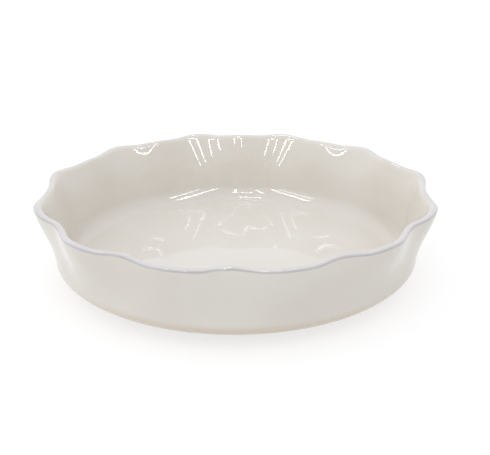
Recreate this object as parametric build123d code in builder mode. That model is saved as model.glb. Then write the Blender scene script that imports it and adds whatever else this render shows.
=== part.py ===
import os
from math import cos, hypot, pi, radians, sin

from build123d import *

# Driving dimensions of the glazed dish, in millimetres
height = 60.0
rim_radius = 136.5  # outside of the lip, midway between crests and valleys
ruffle_depth = 7.0  # from a valley to a crest, at the lip
ruffle_start = 17.0  # level where the ruffle fades out, down the wall
flare = 9.0  # how far the wall spreads from the rounded base to the lip
wall_start = 18.5  # level where the rounded base turns into the wall
wall_thickness = 6.0  # at the turn
rim_thickness = 4.6  # at the lip
floor_level = 9.0
inner_corner = 13.0  # radius where the floor turns into the wall
base_reach = 35.5  # how far the rounded base reaches in from the wall
base_margin = 3.0  # flat underside left outside the foot ring
foot_width = 6.0
foot_height = 1.5
foot_edge = 0.6  # radius on the foot ring's lower edges
recess_rise = 0.6  # underside inside the foot ring, above the clay outside it
glaze = 0.4
rim_band = 1.2  # reach of the rim's own glaze below the lip's rounding

# Counts, angles and shares
lobes = 12
points_per_lobe = 6
soft_turn = radians(15)  # how far from flat a rounding starts or ends
corner_steps = 8
lip_steps = 4
wall_steps = 6
lip_round_share = 0.38  # of the rim's thickness, on each side of the lip
ruffle_power = 1.1
flare_power = 1.15

# Levels and radii that follow
wall_radius = rim_radius - flare
base_radius = wall_radius - base_reach
foot_radius = base_radius - base_margin
lip_round = rim_thickness * lip_round_share
lip_start = height - lip_round * cos(soft_turn)
band_level = lip_start - rim_band
clay_base = foot_height + glaze
recess_level = clay_base + recess_rise
foot_hole_radius = foot_radius - foot_width
wiped_margin = base_margin / 2  # bare clay beside the foot ring, wiped free of glaze


def wall_climb(level):
    """Share of the wall's height reached at a level, 0 at the turn and 1 at the lip."""
    return min(1.0, max(0.0, (level - wall_start) / (height - wall_start)))


def wall_line(level):
    """Mean outer radius of the wall: upright at the turn, flaring in a smooth step."""
    step = wall_climb(level) ** flare_power
    return wall_radius + flare * step * step * (3 - 2 * step)


def inner_line(level):
    """Mean inner radius: the wall's line less a thickness that thins towards the lip."""
    return wall_line(level) - wall_thickness - (rim_thickness - wall_thickness) * wall_climb(level)


def ruffle(level):
    """How far a crest stands out from the mean radius at a level."""
    climb = max(0.0, (level - ruffle_start) / (height - ruffle_start))
    return ruffle_depth / 2 * climb**ruffle_power


def corner_turns():
    """Angles round a corner, closer together at its flat end."""
    shares = [1 - cos(pi / 2 * step / corner_steps) for step in range(corner_steps)]
    return [soft_turn + (pi / 2 - soft_turn) * share for share in shares]


def section(radius, level):
    """Face of one level section: a circle waved by the lobes, its first crest on +X."""
    count = lobes * points_per_lobe
    turns = [2 * pi * index / count for index in range(count + 1)]
    places = []
    for turn in turns[:-1]:
        reach = radius + ruffle(level) * cos(lobes * turn)
        places.append((reach * cos(turn), reach * sin(turn), level))
    with BuildSketch(Plane.XY.offset(level)) as drawn:
        with BuildLine():
            add(Edge.make_spline(places, periodic=True, parameters=turns))
        make_face()
    return drawn.sketch.face()


def outer_form(inset=0.0):
    """Solid inside the outer surface, drawn in by an inset square to its profile.

    The base follows an ellipse round to the wall, and a quarter circle rounds the lip.
    """
    reach = base_reach / (1 - sin(soft_turn))
    rise = (wall_start - foot_height) / cos(soft_turn)
    sections = []
    for turn in corner_turns():
        slope = hypot(rise * sin(turn), reach * cos(turn))
        radius = wall_radius - reach * (1 - sin(turn)) - inset * rise * sin(turn) / slope
        level = wall_start - rise * cos(turn) + inset * reach * cos(turn) / slope
        sections.append(section(radius, level))
    for step in range(wall_steps):
        level = wall_start + (lip_start - wall_start) * step / wall_steps
        sections.append(section(wall_line(level) - inset, level))
    rounding = lip_round - inset
    for step in range(lip_steps + 1):
        turn = (pi / 2 - soft_turn) * step / lip_steps
        radius = wall_line(lip_start) - inset - rounding * (1 - cos(turn))
        sections.append(section(radius, lip_start + rounding * sin(turn)))
    with BuildPart() as form:
        loft(sections)
    return form.part


def hollow_form(outset=0.0):
    """Solid that fills the dish, grown by an outset on its wall and floor."""
    rounding = inner_corner + outset
    corner_level = floor_level + inner_corner * cos(soft_turn)
    corner_centre = inner_line(corner_level) - inner_corner
    sections = []
    for turn in corner_turns():
        radius = corner_centre + rounding * sin(turn)
        sections.append(section(radius, corner_level - rounding * cos(turn)))
    for step in range(wall_steps):
        level = corner_level + (lip_start - corner_level) * step / wall_steps
        sections.append(section(inner_line(level) + outset, level))
    rounding = lip_round - outset
    for step in range(lip_steps + 1):
        turn = (pi / 2 - soft_turn) * step / lip_steps
        radius = inner_line(lip_start) + outset + rounding * (1 - cos(turn))
        sections.append(section(radius, lip_start + rounding * sin(turn)))
    with BuildPart() as form:
        loft(sections)
    return form.part


def shell_form(inset=0.0):
    """The dish's wall and floor with a rounded lip, drawn in by an inset all round."""
    with BuildPart() as form:
        add(outer_form(inset))
        add(hollow_form(inset), mode=Mode.SUBTRACT)
    return form.part


# Clay body, bare on its foot ring
with BuildPart() as stoneware_body:
    add(shell_form(glaze))
    with BuildSketch(Plane.XY):
        Circle(foot_radius)
    extrude(amount=recess_level)
    with BuildSketch(Plane.XY):
        Circle(foot_hole_radius)
    extrude(amount=recess_level, mode=Mode.SUBTRACT)
    fillet(stoneware_body.faces().sort_by(Axis.Z)[0].edges(), radius=foot_edge)

# Glaze over the floor and the inner wall, up to the rim's own glaze
with BuildPart() as inside_glaze:
    add(hollow_form(glaze))
    split(bisect_by=Plane.XY.offset(band_level), keep=Keep.BOTTOM)
    add(hollow_form(), mode=Mode.SUBTRACT)

# Glaze over the outer wall, wiped off beside the foot ring
with BuildPart() as outside_glaze:
    add(outer_form())
    split(bisect_by=Plane.XY.offset(band_level), keep=Keep.BOTTOM)
    add(outer_form(glaze), mode=Mode.SUBTRACT)
    with BuildSketch(Plane.XY):
        Circle(foot_radius + wiped_margin)
    extrude(amount=clay_base, mode=Mode.SUBTRACT)

# Glaze in the recess inside the foot ring
with BuildPart() as underside_glaze:
    with BuildSketch(Plane.XY.offset(recess_level)):
        Circle(foot_hole_radius - wiped_margin)
    extrude(amount=-glaze)

# Paler glaze over the lip
with BuildPart() as rim_glaze:
    add(shell_form())
    split(bisect_by=Plane.XY.offset(band_level), keep=Keep.TOP)
    add(shell_form(glaze), mode=Mode.SUBTRACT)

pieces = {
    "stoneware_body": stoneware_body,
    "inside_glaze": inside_glaze,
    "outside_glaze": outside_glaze,
    "underside_glaze": underside_glaze,
    "rim_glaze": rim_glaze,
}
os.makedirs("parts", exist_ok=True)
for name, piece in pieces.items():
    piece.part.label = name
    export_step(piece.part, f"parts/{name}.step")
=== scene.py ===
from math import cos, pi, radians, sin

import bpy
import numpy as np
from mathutils import Matrix, Vector


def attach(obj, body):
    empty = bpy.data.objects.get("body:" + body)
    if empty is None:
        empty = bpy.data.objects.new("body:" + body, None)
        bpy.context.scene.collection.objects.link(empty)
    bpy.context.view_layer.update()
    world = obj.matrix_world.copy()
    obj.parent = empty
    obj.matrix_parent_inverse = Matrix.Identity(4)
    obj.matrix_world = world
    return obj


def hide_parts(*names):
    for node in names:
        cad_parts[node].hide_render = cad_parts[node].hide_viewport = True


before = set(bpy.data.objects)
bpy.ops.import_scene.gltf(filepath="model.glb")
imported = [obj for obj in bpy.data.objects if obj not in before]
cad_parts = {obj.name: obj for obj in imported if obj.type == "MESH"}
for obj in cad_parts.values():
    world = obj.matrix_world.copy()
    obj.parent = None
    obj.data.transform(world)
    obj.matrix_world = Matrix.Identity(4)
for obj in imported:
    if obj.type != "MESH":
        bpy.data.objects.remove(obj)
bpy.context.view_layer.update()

mm = 0.001


# Shader maths: a wire is a socket that can be added to, taken from or multiplied

class wire:
    def __init__(self, tree, socket):
        self.tree = tree
        self.socket = socket

    def maths(self, operation, first, second):
        return self.tree.node("ShaderNodeMath", {"operation": operation}, {0: first, 1: second})

    def __add__(self, other):
        return self.maths("ADD", self, other)

    def __radd__(self, other):
        return self.maths("ADD", other, self)

    def __sub__(self, other):
        return self.maths("SUBTRACT", self, other)

    def __rsub__(self, other):
        return self.maths("SUBTRACT", other, self)

    def __mul__(self, other):
        return self.maths("MULTIPLY", self, other)

    def __rmul__(self, other):
        return self.maths("MULTIPLY", other, self)

    def clamp(self):  # kept between 0 and 1
        return self.tree.node("ShaderNodeClamp", {}, {"Value": self})

    def rise(self, start, end):  # 0 below start, 1 above end, smooth between
        return self.tree.node("ShaderNodeMapRange", {"interpolation_type": "SMOOTHSTEP"},
                              {"Value": self, "From Min": start, "From Max": end})

    def between(self, low, high):  # 0 becomes low and 1 becomes high
        return self * (high - low) + low


class shaderTree:
    def __init__(self, owner):
        owner.use_nodes = True
        self.nodes, self.links = owner.node_tree.nodes, owner.node_tree.links
        self.nodes.clear()

    def node(self, kind, settings, inputs, output=0):
        made = self.nodes.new(kind)
        for key, value in settings.items():
            setattr(made, key, value)
        for key, value in inputs.items():
            if isinstance(value, wire):
                self.links.new(value.socket, made.inputs[key])
            elif isinstance(value, tuple) and len(value) == 3 and made.inputs[key].type == "RGBA":
                made.inputs[key].default_value = (*value, 1.0)
            else:
                made.inputs[key].default_value = value
        return wire(self, made.outputs[output])

    def blend(self, share, first, second):  # colours
        return self.node("ShaderNodeMix", {"data_type": "RGBA"}, {0: share, 6: first, 7: second}, 2)

    def noise(self, place, scale, detail, roughness=0.5):
        return self.node("ShaderNodeTexNoise", {},
                         {"Vector": place, "Scale": scale, "Detail": detail, "Roughness": roughness})

    def along(self, place, direction):  # how far a place lies in a direction
        return self.node("ShaderNodeVectorMath", {"operation": "DOT_PRODUCT"},
                         {0: place, 1: tuple(direction)}, "Value")

    def shown(self):  # 1 for what the camera sees, directly, mirrored or through glass
        camera = self.node("ShaderNodeLightPath", {}, {}, "Is Camera Ray")
        glossy = self.node("ShaderNodeLightPath", {}, {}, "Is Glossy Ray")
        through = self.node("ShaderNodeLightPath", {}, {}, "Is Transmission Ray")
        return (camera + glossy + through).clamp()

    def finish(self, shader, kind="ShaderNodeOutputMaterial"):
        self.links.new(shader.socket, self.nodes.new(kind).inputs["Surface"])


def newMaterial(name):
    material = bpy.data.materials.new(name)
    return material, shaderTree(material)


# The dish's form: close to the lines of its solids, with the inner wall and the lip drawn more finely

dish = {
    "height": 60 * mm,
    "rimRadius": 136.43 * mm,  # outside of the lip, midway between crests and valleys
    "ruffleDepth": 7.0 * mm,  # from a valley to a crest, at the lip
    "ruffleStart": 17 * mm,  # level where the ruffle fades out
    "rufflePower": 1.1,
    "softerInside": 0.12,  # share of the ruffle lost through the wall's thickness
    "lobes": 12,
    "flare": 9.0 * mm,  # how far the wall spreads up to the lip
    "flarePower": 1.15,
    "wallStart": 18.5 * mm,  # level where the rounded base turns into the wall
    "wallThickness": 6.0 * mm,  # at the turn
    "rimThickness": 4.6 * mm,
    "innerPower": 2.2,  # the higher, the later the inner wall spreads
    "floorLevel": 9.0 * mm,
    "innerCorner": 13 * mm,  # radius where the floor turns into the wall
    "softTurn": radians(15),  # how far from flat a rounding starts
    "footRadius": 89 * mm,
    "footWidth": 6.0 * mm,
    "footHeight": 1.5 * mm,
    "footEdge": 0.6 * mm,  # radius of the foot ring's lower edges
    "baseMargin": 3.0 * mm,  # flat underside outside the foot ring, half of it wiped free of glaze
    "recessRise": 0.6 * mm,
    "glaze": 0.4 * mm,
    "rimBand": 0.3 * mm,  # reach of the rim's own glaze below the lip's rounding
    "lipOuterDrop": 1.4 * mm,  # height of the lip's rounding outside
    "lipOuterReach": 1.3 * mm,
    "lipOuterPull": (0.6, 0.4),  # how long it follows the wall and the level top
    "lipInnerDrop": 4.5 * mm,  # the same inside
    "lipInnerReach": 4.3 * mm,
    "lipInnerPull": (0.4, 0.45),
    "lipWave": 0.5 * mm,  # the lip dips between crests and valleys
    "lipWaveStart": 34 * mm,
}
grid = {
    "turns": 600,  # steps round the dish
    "wall": (26, 46),  # steps round a corner and up the wall
    "wallNearLip": (26, 200),
    "clayWall": (14, 24),  # under the glaze
    "lip": 16,  # steps over each side of the lip
    "floor": 12,
    "floorPower": 1.37,  # shorter steps near the corner
    "clayFloor": 8,
    "recess": 12,
    "footFace": 6,
    "footEdge": 7,
    "gap": 0.02 * mm,  # points nearer than this to a cut are left out
    "sharp": radians(35),  # edges that turn more than this show as edges
}


def wallClimb(level):  # 0 where the wall starts and 1 at the lip
    return np.clip((level - dish["wallStart"]) / (dish["height"] - dish["wallStart"]), 0, 1)


def wallLine(level):  # mean outer radius: upright at the turn, then a smooth step outwards
    step = wallClimb(level) ** dish["flarePower"]
    return dish["rimRadius"] - dish["flare"] + dish["flare"] * step * step * (3 - 2 * step)


def innerLine(level):  # mean inner radius, which spreads more and more towards the lip
    start = dish["rimRadius"] - dish["flare"] - dish["wallThickness"]
    spread = dish["flare"] + dish["wallThickness"] - dish["rimThickness"]
    return start + spread * wallClimb(level) ** dish["innerPower"]


def ruffle(level):  # how far a crest stands out from the mean radius
    climb = np.clip((level - dish["ruffleStart"]) / (dish["height"] - dish["ruffleStart"]), 0, None)
    return dish["ruffleDepth"] / 2 * climb ** dish["rufflePower"]


lipStart = dish["height"] - dish["lipOuterDrop"]
lipEnd = dish["height"] - dish["lipInnerDrop"]
bandLevel = lipEnd - dish["rimBand"]
clayBase = dish["footHeight"] + dish["glaze"]
recessLevel = clayBase + dish["recessRise"]


def outerProfile(inset, steps=grid["wall"]):
    # Radius and level: an ellipse from the base round to the wall, then the wall's own line,
    # moved inwards by the inset
    soft = dish["softTurn"]
    base = dish["footRadius"] + dish["baseMargin"]
    wall = dish["rimRadius"] - dish["flare"]
    reach = (wall - base) / (1 - sin(soft))
    rise = (dish["wallStart"] - dish["footHeight"]) / cos(soft)
    turn = soft + (pi / 2 - soft) * (1 - np.cos(np.linspace(0, pi / 2, steps[0])))[:-1]
    slope = np.hypot(rise * np.sin(turn), reach * np.cos(turn))
    low = np.array([wall - reach * (1 - np.sin(turn)) - inset * rise * np.sin(turn) / slope,
                    dish["wallStart"] - rise * np.cos(turn) + inset * reach * np.cos(turn) / slope])
    level = np.linspace(dish["wallStart"], lipStart, steps[1])
    return np.hstack([low, [wallLine(level) - inset, level]])


def innerProfile(outset, steps=grid["wall"]):
    # Radius and level: a round corner from the floor, then the wall's inner line, moved outwards
    # and down by the outset
    soft, corner = dish["softTurn"], dish["innerCorner"]
    centreLevel = dish["floorLevel"] + corner * cos(soft)
    centreRadius = innerLine(centreLevel) - corner
    turn = np.linspace(soft, pi / 2, steps[0])[:-1]
    low = np.array([centreRadius + (corner + outset) * np.sin(turn),
                    centreLevel - (corner + outset) * np.cos(turn)])
    level = np.linspace(centreLevel, lipStart, steps[1])
    return np.hstack([low, [innerLine(level) + outset, level]])


def bend(start, leave, end, arrive, steps):
    # Cubic curve from start to end, which sets out towards leave and comes in from arrive
    t = np.linspace(0, 1, steps)
    pull = [(1 - t) ** 3, 3 * (1 - t) ** 2 * t, 3 * (1 - t) * t ** 2, t ** 3]
    return sum(share * np.array(place)[:, None] for share, place in zip(pull, (start, leave, arrive, end)))


def lipProfile():
    # From the outer wall up to the level top, across it and down along the inner wall's lean
    top, steps, small = dish["height"], grid["lip"], 0.1 * mm
    reach, drop, (upright, level) = dish["lipOuterReach"], dish["lipOuterDrop"], dish["lipOuterPull"]
    edge = wallLine(lipStart)
    outer = bend((edge, lipStart), (edge, lipStart + upright * drop),
                 (edge - reach, top), (edge - level * reach, top), steps)
    reach, drop, (upright, level) = dish["lipInnerReach"], dish["lipInnerDrop"], dish["lipInnerPull"]
    edge = innerLine(lipEnd)
    lean = (innerLine(lipEnd + small) - innerLine(lipEnd - small)) / (2 * small)
    inner = bend((edge + reach, top), (edge + level * reach, top),
                 (edge, lipEnd), (edge + lean * upright * drop, lipEnd + upright * drop), steps)
    return np.hstack([outer, inner])


def inwards(profile, depth):  # a profile moved into the body, square to itself
    along = np.gradient(profile, axis=1)
    along = along / np.hypot(*along)
    return profile + depth * np.array([-along[1], along[0]])


def above(profile, level):  # the part of a profile above a level, cut off there
    radius = np.interp(level, profile[1], profile[0])
    keep = profile[1] > level + grid["gap"]
    return np.hstack([[[radius], [level]], profile[:, keep]])


def below(profile, level):  # and the part below it
    radius = np.interp(level, profile[1], profile[0])
    keep = profile[1] < level - grid["gap"]
    return np.hstack([profile[:, keep], [[radius], [level]]])


def flatRun(radiusA, radiusB, level, steps, power=1.0):
    # A level stretch between two radii, ends left out. A higher power makes its first steps shorter.
    share = np.linspace(0, 1, steps + 1)[1:-1] ** power
    radius = radiusA + (radiusB - radiusA) * share
    return np.array([radius, np.full_like(radius, level)])


def newMesh(name, points, corners, sizes):  # sizes are the corner counts of the faces, in order
    mesh = bpy.data.meshes.new(name)
    mesh.vertices.add(len(points))
    mesh.vertices.foreach_set("co", points.astype(np.float32).reshape(-1))
    mesh.loops.add(len(corners))
    mesh.loops.foreach_set("vertex_index", corners.astype(np.int32))
    mesh.polygons.add(len(sizes))
    starts = np.concatenate([[0], np.cumsum(sizes)[:-1]])
    mesh.polygons.foreach_set("loop_start", starts.astype(np.int32))
    mesh.polygons.foreach_set("loop_total", sizes.astype(np.int32))
    mesh.update(calc_edges=True)
    mesh.validate()
    mesh.shade_smooth()
    mesh.set_sharp_from_angle(angle=grid["sharp"])
    return mesh


def dishSkin(name, profile, closed):
    # A profile of radius and level carried once round the axis. At the angle a the radius gains
    # the ruffle * cos(12 a), a little less towards the wall's inner side, and near the lip the
    # level drops by the lip wave * (1 - cos(24 a)). A closed profile gives a ring. An open one
    # starts and ends on the axis, in single points.
    radius, level = profile
    turns, count = grid["turns"], len(radius)
    angle = 2 * pi * np.arange(turns) / turns
    wave = np.cos(dish["lobes"] * angle)[:, None]
    dip = np.clip((level - dish["lipWaveStart"]) / (dish["height"] - dish["lipWaveStart"]), 0, 1) ** 2
    through = np.clip((wallLine(level) - radius) / (wallLine(level) - innerLine(level)), 0, 1)
    reach = radius + ruffle(level) * (1 - dish["softerInside"] * through) * wave
    down = level - dish["lipWave"] * dip * (1 - np.cos(2 * dish["lobes"] * angle))[:, None]
    points = np.stack([reach * np.cos(angle)[:, None], reach * np.sin(angle)[:, None], down], axis=-1)
    points = points.reshape(-1, 3)
    steps = count if closed else count - 1
    i, j = np.meshgrid(np.arange(turns), np.arange(steps), indexing="ij")
    here, there = i * count, (i + 1) % turns * count
    near, far = j, (j + 1) % count
    quads = np.stack([here + near, there + near, there + far, here + far], axis=-1)
    corners, sizes = quads.reshape(-1), np.full(turns * steps, 4)
    if not closed:  # fans to a point on the axis at each end
        first, last = len(points), len(points) + 1
        points = np.vstack([points, [[0, 0, level[0]], [0, 0, level[-1]]]])
        here, there = here[:, 0], there[:, 0]
        fanA = np.stack([there, here, np.full(turns, first)], axis=-1)
        fanB = np.stack([here + count - 1, there + count - 1, np.full(turns, last)], axis=-1)
        corners = np.concatenate([corners, fanA.reshape(-1), fanB.reshape(-1)])
        sizes = np.concatenate([sizes, np.full(2 * turns, 3)])
    piece = bpy.data.objects.new(name, newMesh(name, points, corners, sizes))
    bpy.context.collection.objects.link(piece)
    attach(piece, "root")
    return piece


def putOn(piece, material, node):
    piece.data.materials.append(material)
    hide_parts(node)
    print(piece.name, len(piece.data.polygons), "faces")


# Glazes

glazeLook = {
    "cream": (0.796, 0.764, 0.712),
    "creamDeep": (0.772, 0.732, 0.670),  # where the glaze has run a little thicker
    "deepPatches": (0.35, 0.70),  # noise at which that starts and is full
    "patchNoise": (14.0, 3.0),  # scale and detail
    "thinGlazeAndShade": (0.760, 0.645, 0.490),  # darker and warmer towards the foot: partly glaze running thin over the clay, partly painted shade where the base turns under
    "thinAndShadeLevels": (14.0, 21.0),  # in millimetres: fullest below, gone above
    "thinAndShadeWander": 2.0,
    "thinAndShadeShare": 0.62,
    "rim": (0.700, 0.676, 0.694),
    "rimStart": (-2.4, -1.4),  # in millimetres along the profile, from the lip's outer corner
    "rimEnd": (0.8, 4.6),
    "rimPatches": (0.3, 0.65),
    "rimCover": (0.65, 1.0),
    "line": (0.535, 0.515, 0.503),  # fine grey line under the lip
    "lineStart": (-2.3, -1.2),
    "lineEnd": (-1.0, 0.2),
    "linePatches": (0.3, 0.6),
    "lineCover": (0.5, 0.8),
    "wanderNoise": (90.0, 2.0),
    "wander": 0.6,  # how far the rim's borders wander, in millimetres
    "roughness": (0.03, 0.05),
    "refraction": 1.5,
    "rippleNoise": (55.0, 2.0),
    "rippleDepth": 0.12 * mm,
    "rippleStrength": 0.35,
}


def glazeMaterial(name, nearFoot=False, onRim=False):
    material, tree = newMaterial(name)
    place = tree.node("ShaderNodeTexCoord", {}, {}, "Object")
    patches = tree.noise(place, *glazeLook["patchNoise"])
    ripple = tree.noise(place, *glazeLook["rippleNoise"])
    deep = patches.rise(*glazeLook["deepPatches"])
    colour = tree.blend(deep, glazeLook["cream"], glazeLook["creamDeep"])
    if nearFoot:
        # Darker, warmer towards the foot: partly thin glaze over the clay, partly painted shade of the
        # underside
        height = tree.along(place, (0, 0, 1 / mm)) + patches * glazeLook["thinAndShadeWander"]
        thinGlazeAndShade = (1 - height.rise(*glazeLook["thinAndShadeLevels"])) * glazeLook["thinAndShadeShare"]
        colour = tree.blend(thinGlazeAndShade, colour, glazeLook["thinGlazeAndShade"])
    if onRim:
        wander = tree.noise(place, *glazeLook["wanderNoise"])
        run = tree.node("ShaderNodeAttribute", {"attribute_name": "fromLip"}, {}, "Fac")
        run = run + (wander - 0.5) * glazeLook["wander"]
        band = run.rise(*glazeLook["rimStart"]) * (1 - run.rise(*glazeLook["rimEnd"]))
        band = band * patches.rise(*glazeLook["rimPatches"]).between(*glazeLook["rimCover"])
        line = run.rise(*glazeLook["lineStart"]) * (1 - run.rise(*glazeLook["lineEnd"]))
        line = line * wander.rise(*glazeLook["linePatches"]).between(*glazeLook["lineCover"])
        colour = tree.blend(band, colour, glazeLook["rim"])
        colour = tree.blend(line, colour, glazeLook["line"])
    bump = tree.node("ShaderNodeBump", {}, {
        "Strength": glazeLook["rippleStrength"], "Distance": glazeLook["rippleDepth"], "Height": ripple})
    shader = tree.node("ShaderNodeBsdfPrincipled", {}, {
        "Base Color": colour, "Roughness": patches.between(*glazeLook["roughness"]),
        "IOR": glazeLook["refraction"], "Normal": bump})
    tree.finish(shader)
    return material


def storeFromLip(piece, profile, edge):
    # Distance in millimetres along the profile from its corner at the lip's outer edge: minus below
    # it outside, plus over the lip and down inside
    steps = np.hypot(*np.diff(profile, axis=1))
    run = np.concatenate([[0], np.cumsum(steps)])
    layer = piece.data.attributes.new("fromLip", "FLOAT", "POINT")
    layer.data.foreach_set("value", np.tile((run - run[edge]) / mm, grid["turns"]).astype(np.float32))


cream = glazeMaterial("creamGlaze")
creamOutside = glazeMaterial("creamGlazeOutside", nearFoot=True)
rimCream = glazeMaterial("lilacRimGlaze", onRim=True)

skin = dish["glaze"]
wiped = dish["footRadius"] + dish["baseMargin"] / 2
outside = below(outerProfile(0), bandLevel)
outsideBack = below(outerProfile(skin), bandLevel)
start = np.array([[wiped], [dish["footHeight"]]])
startBack = np.array([[wiped], [clayBase]])
profile = np.hstack([start, outside, outsideBack[:, ::-1], startBack])
outsideGlaze = dishSkin("outsideGlaze", profile, True)
putOn(outsideGlaze, creamOutside, "outside_glaze")

inside = below(innerProfile(0), bandLevel)
insideBack = below(innerProfile(skin), bandLevel)
floorRun = flatRun(inside[0, 0], 0, dish["floorLevel"], grid["floor"], grid["floorPower"])
floorBack = flatRun(insideBack[0, 0], 0, dish["floorLevel"] - skin, grid["floor"], grid["floorPower"])
profile = np.hstack([floorBack[:, ::-1], insideBack, inside[:, ::-1], floorRun])
insideGlaze = dishSkin("insideGlaze", profile, False)
putOn(insideGlaze, cream, "inside_glaze")

outerTop = above(outerProfile(0, grid["wallNearLip"]), bandLevel)[:, :-1]
innerTop = above(below(innerProfile(0, grid["wallNearLip"]), lipEnd), bandLevel)[:, :-1]
rimRun = np.hstack([outerTop, lipProfile(), innerTop[:, ::-1]])
profile = np.hstack([rimRun, inwards(rimRun, skin)[:, ::-1]])
rimGlaze = dishSkin("rimGlaze", profile, True)
storeFromLip(rimGlaze, profile, outerTop.shape[1] + grid["lip"] // 2)
putOn(rimGlaze, rimCream, "rim_glaze")

ringInside = dish["footRadius"] - dish["footWidth"]
recessEdge = ringInside - dish["baseMargin"] / 2
profile = np.hstack([
    flatRun(0, recessEdge, recessLevel - skin, grid["recess"]),
    [[recessEdge, recessEdge], [recessLevel - skin, recessLevel]],
    flatRun(recessEdge, 0, recessLevel, grid["recess"])])
undersideGlaze = dishSkin("undersideGlaze", profile, False)
putOn(undersideGlaze, cream, "underside_glaze")

# Clay body under the glaze, with its bare foot ring

clayLook = {
    "buff": (0.66, 0.57, 0.45),
    "dark": (0.50, 0.41, 0.31),
    "grainNoise": (900.0, 3.0, 0.6),  # scale, detail and roughness
    "grainShown": (0.45, 0.72),
    "grainShare": 0.5,
    "patchNoise": (30.0, 3.0),
    "patchShown": (0.4, 0.7),
    "patchShare": 0.4,
    "roughness": (0.82, 0.94),
    "grainDepth": 0.1 * mm,
    "grainStrength": 0.5,
}
material, tree = newMaterial("bareStoneware")
place = tree.node("ShaderNodeTexCoord", {}, {}, "Object")
grain = tree.noise(place, *clayLook["grainNoise"])
patch = tree.noise(place, *clayLook["patchNoise"])
dark = (grain.rise(*clayLook["grainShown"]) * clayLook["grainShare"]
        + patch.rise(*clayLook["patchShown"]) * clayLook["patchShare"])
bump = tree.node("ShaderNodeBump", {}, {
    "Strength": clayLook["grainStrength"], "Distance": clayLook["grainDepth"], "Height": grain})
tree.finish(tree.node("ShaderNodeBsdfPrincipled", {}, {
    "Base Color": tree.blend(dark, clayLook["buff"], clayLook["dark"]),
    "Roughness": grain.between(*clayLook["roughness"]), "Normal": bump}))

edge, foot = dish["footEdge"], dish["footRadius"]
turn = np.linspace(0, pi / 2, grid["footEdge"])
footRing = np.hstack([
    flatRun(0, ringInside, recessLevel, grid["recess"]),
    [[ringInside], [recessLevel]],
    [ringInside + edge * (1 - np.cos(turn)), edge * (1 - np.sin(turn))],
    flatRun(ringInside + edge, foot - edge, 0, grid["footFace"]),
    [foot - edge * (1 - np.sin(turn)), edge * (1 - np.cos(turn))],
    [[foot, wiped], [clayBase, clayBase]]])
clayOut = outerProfile(skin, grid["clayWall"])[:, :-1]
clayLip = inwards(lipProfile(), skin)
clayIn = below(innerProfile(skin, grid["clayWall"]), clayLip[1, -1] - 0.1 * mm)
clayFloor = flatRun(clayIn[0, 0], 0, dish["floorLevel"] - skin, grid["clayFloor"])
profile = np.hstack([footRing, clayOut, clayLip, clayIn[:, ::-1], clayFloor])
stonewareBody = dishSkin("stonewareBody", profile, False)
putOn(stonewareBody, material, "stoneware_body")
print("dish made")

# Floor, light and camera

studio = {
    "floorSize": 6.0,
    "floorColour": (0.86, 0.86, 0.86),
    "floorGlow": 1.16,  # the plain white of the floor that the camera sees
    "floorGlowShare": 0.62,
    "skyLow": 0.55,  # light from the sides
    "skyHigh": 0.69,  # more light from above
    "skyLeft": 0.17,  # more light from the left
    "skyFront": 0.05,  # and from the camera's side
    "skyWarm": (1.0, 0.975, 0.925),  # near the horizon
    "skyCool": (0.975, 0.99, 1.03),  # overhead
    "skyTurn": (0.1, 0.9),  # where the one passes into the other
    "roof": 1.3,  # height of the lamps overhead
    "lampRadiance": 14.0,
    "lampsFace": (0, 0, 40 * mm),
}
white = (1.0, 1.0, 1.0)

half = studio["floorSize"] / 2
floorCorners = [(-half, -half, 0), (half, -half, 0), (half, half, 0), (-half, half, 0)]
floorMesh = bpy.data.meshes.new("floor")
floorMesh.from_pydata(floorCorners, [], [(0, 1, 2, 3)])
floor = bpy.data.objects.new("floor", floorMesh)
bpy.context.collection.objects.link(floor)
material, tree = newMaterial("paleFloor")
diffuse = tree.node("ShaderNodeBsdfDiffuse", {}, {"Color": studio["floorColour"]})
glow = tree.node("ShaderNodeEmission", {}, {"Color": white, "Strength": studio["floorGlow"]})
share = tree.shown() * studio["floorGlowShare"]
tree.finish(tree.node("ShaderNodeMixShader", {}, {0: share, 1: diffuse, 2: glow}))
floorMesh.materials.append(material)

photoTurn = radians(13.93)  # the camera looks along +Y turned by this, because a crest lies on +X


def turned(x, y, z):  # a place given from the camera's side, as the part stands
    return Vector((x * cos(photoTurn) + y * sin(photoTurn), -x * sin(photoTurn) + y * cos(photoTurn), z))


world = bpy.data.worlds.new("studio")
bpy.context.scene.world = world
tree = shaderTree(world)
toSky = tree.node("ShaderNodeTexCoord", {}, {}, "Generated")
upward = tree.along(toSky, (0, 0, 1))
leftward = tree.along(toSky, turned(-1, 0, 0))
frontward = tree.along(toSky, turned(0, -1, 0))
strength = (upward.clamp() * studio["skyHigh"] + leftward * studio["skyLeft"]
            + frontward * studio["skyFront"] + studio["skyLow"])
skyColour = tree.blend(upward.rise(*studio["skyTurn"]), studio["skyWarm"], studio["skyCool"])
sky = tree.node("ShaderNodeBackground", {}, {"Color": skyColour, "Strength": strength})
plain = tree.node("ShaderNodeBackground", {}, {"Color": white, "Strength": 1.0})
mixed = tree.node("ShaderNodeMixShader", {}, {0: tree.shown(), 1: sky, 2: plain})
tree.finish(mixed, "ShaderNodeOutputWorld")

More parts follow.
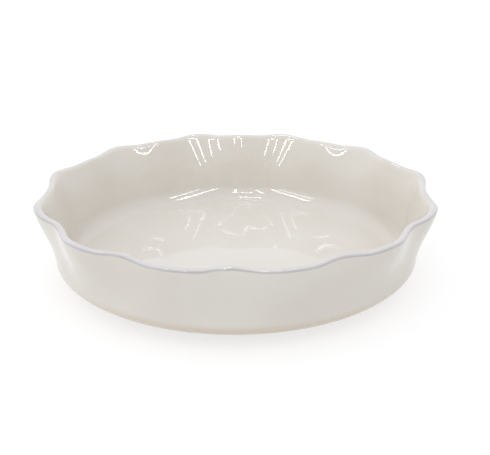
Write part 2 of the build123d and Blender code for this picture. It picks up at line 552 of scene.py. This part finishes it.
# Long lamps overhead, most of which run towards the camera. Each has how far right and how near the
# camera its two ends lie, and its width, all as shares of the roof's height.
lamps = {
    "tubeRightA": (1.75, 3.65, 0.84, 0.48, 0.065),
    "tubeRightB": (0.84, 3.36, 0.45, 0.10, 0.075),
    "tubeMiddleA": (0.03, 2.54, 0.02, 0.75, 0.055),
    "tubeMiddleB": (-0.47, 1.92, -0.34, 0.75, 0.055),
    "tubeLeftB": (-1.26, 2.83, -0.60, 0.10, 0.075),
    "tubeLeftA": (-2.09, 3.89, -1.04, 0.48, 0.065),
    "panelFront": (-0.20, 0.80, -0.04, 0.80, 0.10),
    "panelOver": (-0.14, 0.0, -0.02, 0.0, 0.09),
    "panelBack": (-0.10, -0.81, 0.0, -0.81, 0.10),
}


def newLamp(name, first, second, width):
    # A long lamp between two places, facing the dish, seen only as a reflection in the glaze
    middle, along = (first + second) / 2, second - first
    back = (middle - Vector(studio["lampsFace"])).normalized()
    long = along.normalized()
    side = long.cross(back).normalized()
    back = side.cross(long)
    light = bpy.data.lights.new(name, "AREA")
    light.shape, light.size, light.size_y = "RECTANGLE", width, along.length
    light.energy = studio["lampRadiance"] * width * along.length * pi
    lamp = bpy.data.objects.new(name, light)
    lamp.visible_camera = lamp.visible_diffuse = False
    lamp.matrix_world = Matrix.Translation(middle) @ Matrix((side, long, back)).transposed().to_4x4()
    bpy.context.collection.objects.link(lamp)


roof = studio["roof"]
for name, (rightA, nearA, rightB, nearB, width) in lamps.items():
    first = turned(rightA * roof, -nearA * roof, roof)
    second = turned(rightB * roof, -nearB * roof, roof)
    newLamp(name, first, second, width * roof)

view = {
    "elevation": radians(21.994),
    "distance": 5.2106 * dish["rimRadius"],  # from the middle of the lip, as are the next two
    "sideways": -0.0448 * dish["rimRadius"],
    "upwards": 0.1954 * dish["rimRadius"],
    "roll": radians(0.162),
    "focalPixels": 1015.94,
    "imageWidth": 490,
    "sensorWidth": 36.0,
    "clip": (0.01, 50.0),
}
tilt, roll = view["elevation"], view["roll"]
right = turned(1, 0, 0)
up = turned(0, sin(tilt), cos(tilt))
forward = turned(0, cos(tilt), -sin(tilt))
lipMiddle = Vector((0, 0, dish["height"]))
place = lipMiddle - view["sideways"] * right - view["upwards"] * up - view["distance"] * forward
axes = Matrix((right * cos(roll) - up * sin(roll), right * sin(roll) + up * cos(roll), -forward))
cameraData = bpy.data.cameras.new("camera")
cameraData.sensor_width = view["sensorWidth"]
cameraData.lens = view["sensorWidth"] * view["focalPixels"] / view["imageWidth"]
cameraData.clip_start, cameraData.clip_end = view["clip"]
camera = bpy.data.objects.new("camera", cameraData)
camera.matrix_world = Matrix.Translation(place) @ axes.transposed().to_4x4()
bpy.context.collection.objects.link(camera)
bpy.context.scene.camera = camera
bpy.context.scene.view_settings.view_transform = "Standard"
print("floor, light and camera made")
